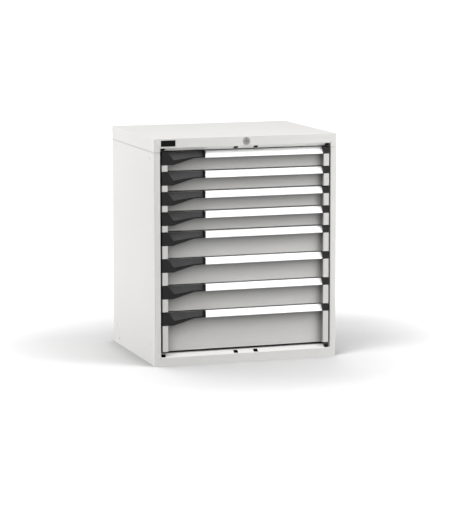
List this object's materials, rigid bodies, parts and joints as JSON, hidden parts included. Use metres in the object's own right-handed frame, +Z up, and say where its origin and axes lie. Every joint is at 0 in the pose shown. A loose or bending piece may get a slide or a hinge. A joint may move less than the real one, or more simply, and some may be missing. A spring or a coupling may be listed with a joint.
{
  "type": "drawer cabinet",
  "caption": "Steel drawer cabinet with recessed fronts, full-width label handles, a thumb latch at the left of each drawer and one lock that works on all of them.",
  "frame": {"origin": "on the floor under the middle of the cabinet", "axes": "+X to the right as one faces the drawers, +Y from the front to the back, +Z up"},
  "size_m": [0.717, 0.574, 0.85],
  "materials": {
    "housing_paint": "light grey powder coat, fine texture",
    "drawer_paint": "light grey powder coat, fine texture",
    "handle_metal": "satin anodised",
    "grip_plastic": "black, fine grained",
    "lever_plastic": "charcoal, satin",
    "badge_plastic": "plain black",
    "plug_plastic": "light grey",
    "lock_metal": "nickel plated, satin",
    "fastener_steel": "bright zinc plated",
    "zinc_steel": "galvanised"
  },
  "bodies": {
    "cabinet": {"base_tray": "housing_paint", "top_cover": "housing_paint", "left_side_panel": "housing_paint", "right_side_panel": "housing_paint", "back_panel": "housing_paint", "back_panel_screws": "fastener_steel", "side_panel_plugs": "plug_plastic", "front_left_post": "zinc_steel", "front_right_post": "zinc_steel", "rear_left_post": "zinc_steel", "rear_right_post": "zinc_steel", "left_rails": "zinc_steel", "right_rails": "zinc_steel", "lock_housing": "lock_metal", "lock_nut": "fastener_steel", "lock_bar_guides": "zinc_steel", "badge_plate": "badge_plastic"},
    "lock_plug": {"lock_plug": "lock_metal", "lock_cam": "fastener_steel"},
    "lock_bar": {"lock_bar": "zinc_steel"},
    "drawer_1": {"drawer_1_tray": "drawer_paint", "drawer_1_handle": "handle_metal", "drawer_1_end_caps": "grip_plastic"},
    "latch_1": {"drawer_1_latch": "lever_plastic"},
    "runners_1": {"drawer_1_runners": "zinc_steel"},
    "drawer_2": {"drawer_2_tray": "drawer_paint", "drawer_2_handle": "handle_metal", "drawer_2_end_caps": "grip_plastic"},
    "latch_2": {"drawer_2_latch": "lever_plastic"},
    "runners_2": {"drawer_2_runners": "zinc_steel"},
    "drawer_3": {"drawer_3_tray": "drawer_paint", "drawer_3_handle": "handle_metal", "drawer_3_end_caps": "grip_plastic"},
    "latch_3": {"drawer_3_latch": "lever_plastic"},
    "runners_3": {"drawer_3_runners": "zinc_steel"},
    "drawer_4": {"drawer_4_tray": "drawer_paint", "drawer_4_handle": "handle_metal", "drawer_4_end_caps": "grip_plastic"},
    "latch_4": {"drawer_4_latch": "lever_plastic"},
    "runners_4": {"drawer_4_runners": "zinc_steel"},
    "drawer_5": {"drawer_5_tray": "drawer_paint", "drawer_5_handle": "handle_metal", "drawer_5_end_caps": "grip_plastic"},
    "latch_5": {"drawer_5_latch": "lever_plastic"},
    "runners_5": {"drawer_5_runners": "zinc_steel"},
    "drawer_6": {"drawer_6_tray": "drawer_paint", "drawer_6_handle": "handle_metal", "drawer_6_end_caps": "grip_plastic"},
    "latch_6": {"drawer_6_latch": "lever_plastic"},
    "runners_6": {"drawer_6_runners": "zinc_steel"},
    "drawer_7": {"drawer_7_tray": "drawer_paint", "drawer_7_handle": "handle_metal", "drawer_7_end_caps": "grip_plastic"},
    "latch_7": {"drawer_7_latch": "lever_plastic"},
    "runners_7": {"drawer_7_runners": "zinc_steel"},
    "drawer_8": {"drawer_8_tray": "drawer_paint", "drawer_8_handle": "handle_metal", "drawer_8_end_caps": "grip_plastic"},
    "latch_8": {"drawer_8_latch": "lever_plastic"},
    "runners_8": {"drawer_8_runners": "zinc_steel"}
  },
  "joints": [
    {"name": "drawer_1_slide", "type": "slide", "parent": "cabinet", "child": "drawer_1", "axis": [0, -1, 0], "range_m": [0, 0.47]},
    {"name": "runners_1_slide", "type": "slide", "parent": "cabinet", "child": "runners_1", "axis": [0, -1, 0], "range_m": [0, 0.235]},
    {"name": "latch_1_pivot", "type": "hinge", "parent": "drawer_1", "child": "latch_1", "pos_m": [-0.24435, -0.26906, 0.7972], "axis": [1, 0, 0], "range_deg": [0, 5], "stiffness_Nm_per_rad": 0.5, "springref_deg": -2.86},
    {"name": "drawer_2_slide", "type": "slide", "parent": "cabinet", "child": "drawer_2", "axis": [0, -1, 0], "range_m": [0, 0.47]},
    {"name": "runners_2_slide", "type": "slide", "parent": "cabinet", "child": "runners_2", "axis": [0, -1, 0], "range_m": [0, 0.235]},
    {"name": "latch_2_pivot", "type": "hinge", "parent": "drawer_2", "child": "latch_2", "pos_m": [-0.24435, -0.26906, 0.7222], "axis": [1, 0, 0], "range_deg": [0, 5], "stiffness_Nm_per_rad": 0.5, "springref_deg": -2.86},
    {"name": "drawer_3_slide", "type": "slide", "parent": "cabinet", "child": "drawer_3", "axis": [0, -1, 0], "range_m": [0, 0.47]},
    {"name": "runners_3_slide", "type": "slide", "parent": "cabinet", "child": "runners_3", "axis": [0, -1, 0], "range_m": [0, 0.235]},
    {"name": "latch_3_pivot", "type": "hinge", "parent": "drawer_3", "child": "latch_3", "pos_m": [-0.24435, -0.26906, 0.6472], "axis": [1, 0, 0], "range_deg": [0, 5], "stiffness_Nm_per_rad": 0.5, "springref_deg": -2.86},
    {"name": "drawer_4_slide", "type": "slide", "parent": "cabinet", "child": "drawer_4", "axis": [0, -1, 0], "range_m": [0, 0.47]},
    {"name": "runners_4_slide", "type": "slide", "parent": "cabinet", "child": "runners_4", "axis": [0, -1, 0], "range_m": [0, 0.235]},
    {"name": "latch_4_pivot", "type": "hinge", "parent": "drawer_4", "child": "latch_4", "pos_m": [-0.24435, -0.26906, 0.5722], "axis": [1, 0, 0], "range_deg": [0, 5], "stiffness_Nm_per_rad": 0.5, "springref_deg": -2.86},
    {"name": "drawer_5_slide", "type": "slide", "parent": "cabinet", "child": "drawer_5", "axis": [0, -1, 0], "range_m": [0, 0.47]},
    {"name": "runners_5_slide", "type": "slide", "parent": "cabinet", "child": "runners_5", "axis": [0, -1, 0], "range_m": [0, 0.235]},
    {"name": "latch_5_pivot", "type": "hinge", "parent": "drawer_5", "child": "latch_5", "pos_m": [-0.24435, -0.26906, 0.4972], "axis": [1, 0, 0], "range_deg": [0, 5], "stiffness_Nm_per_rad": 0.5, "springref_deg": -2.86},
    {"name": "drawer_6_slide", "type": "slide", "parent": "cabinet", "child": "drawer_6", "axis": [0, -1, 0], "range_m": [0, 0.47]},
    {"name": "runners_6_slide", "type": "slide", "parent": "cabinet", "child": "runners_6", "axis": [0, -1, 0], "range_m": [0, 0.235]},
    {"name": "latch_6_pivot", "type": "hinge", "parent": "drawer_6", "child": "latch_6", "pos_m": [-0.24435, -0.26906, 0.3972], "axis": [1, 0, 0], "range_deg": [0, 5], "stiffness_Nm_per_rad": 0.5, "springref_deg": -2.86},
    {"name": "drawer_7_slide", "type": "slide", "parent": "cabinet", "child": "drawer_7", "axis": [0, -1, 0], "range_m": [0, 0.47]},
    {"name": "runners_7_slide", "type": "slide", "parent": "cabinet", "child": "runners_7", "axis": [0, -1, 0], "range_m": [0, 0.235]},
    {"name": "latch_7_pivot", "type": "hinge", "parent": "drawer_7", "child": "latch_7", "pos_m": [-0.24435, -0.26906, 0.2972], "axis": [1, 0, 0], "range_deg": [0, 5], "stiffness_Nm_per_rad": 0.5, "springref_deg": -2.86},
    {"name": "drawer_8_slide", "type": "slide", "parent": "cabinet", "child": "drawer_8", "axis": [0, -1, 0], "range_m": [0, 0.47]},
    {"name": "runners_8_slide", "type": "slide", "parent": "cabinet", "child": "runners_8", "axis": [0, -1, 0], "range_m": [0, 0.235]},
    {"name": "latch_8_pivot", "type": "hinge", "parent": "drawer_8", "child": "latch_8", "pos_m": [-0.24435, -0.26906, 0.1972], "axis": [1, 0, 0], "range_deg": [0, 5], "stiffness_Nm_per_rad": 0.5, "springref_deg": -2.86},
    {"name": "lock_bar_lift", "type": "slide", "parent": "cabinet", "child": "lock_bar", "axis": [0, 0, 1], "range_m": [0, 0.0113]},
    {"name": "lock_turn", "type": "hinge", "parent": "cabinet", "child": "lock_plug", "pos_m": [0, -0.286, 0.833], "axis": [0, -1, 0], "range_deg": [0, 90]}
  ],
  "couplings": [
    {"joint": "runners_1_slide", "follows": "drawer_1_slide", "ratio": 0.5},
    {"joint": "runners_2_slide", "follows": "drawer_2_slide", "ratio": 0.5},
    {"joint": "runners_3_slide", "follows": "drawer_3_slide", "ratio": 0.5},
    {"joint": "runners_4_slide", "follows": "drawer_4_slide", "ratio": 0.5},
    {"joint": "runners_5_slide", "follows": "drawer_5_slide", "ratio": 0.5},
    {"joint": "runners_6_slide", "follows": "drawer_6_slide", "ratio": 0.5},
    {"joint": "runners_7_slide", "follows": "drawer_7_slide", "ratio": 0.5},
    {"joint": "runners_8_slide", "follows": "drawer_8_slide", "ratio": 0.5},
    {"joint": "lock_turn", "follows": "lock_bar_lift", "rad_per_m": 138.84}
  ]
}
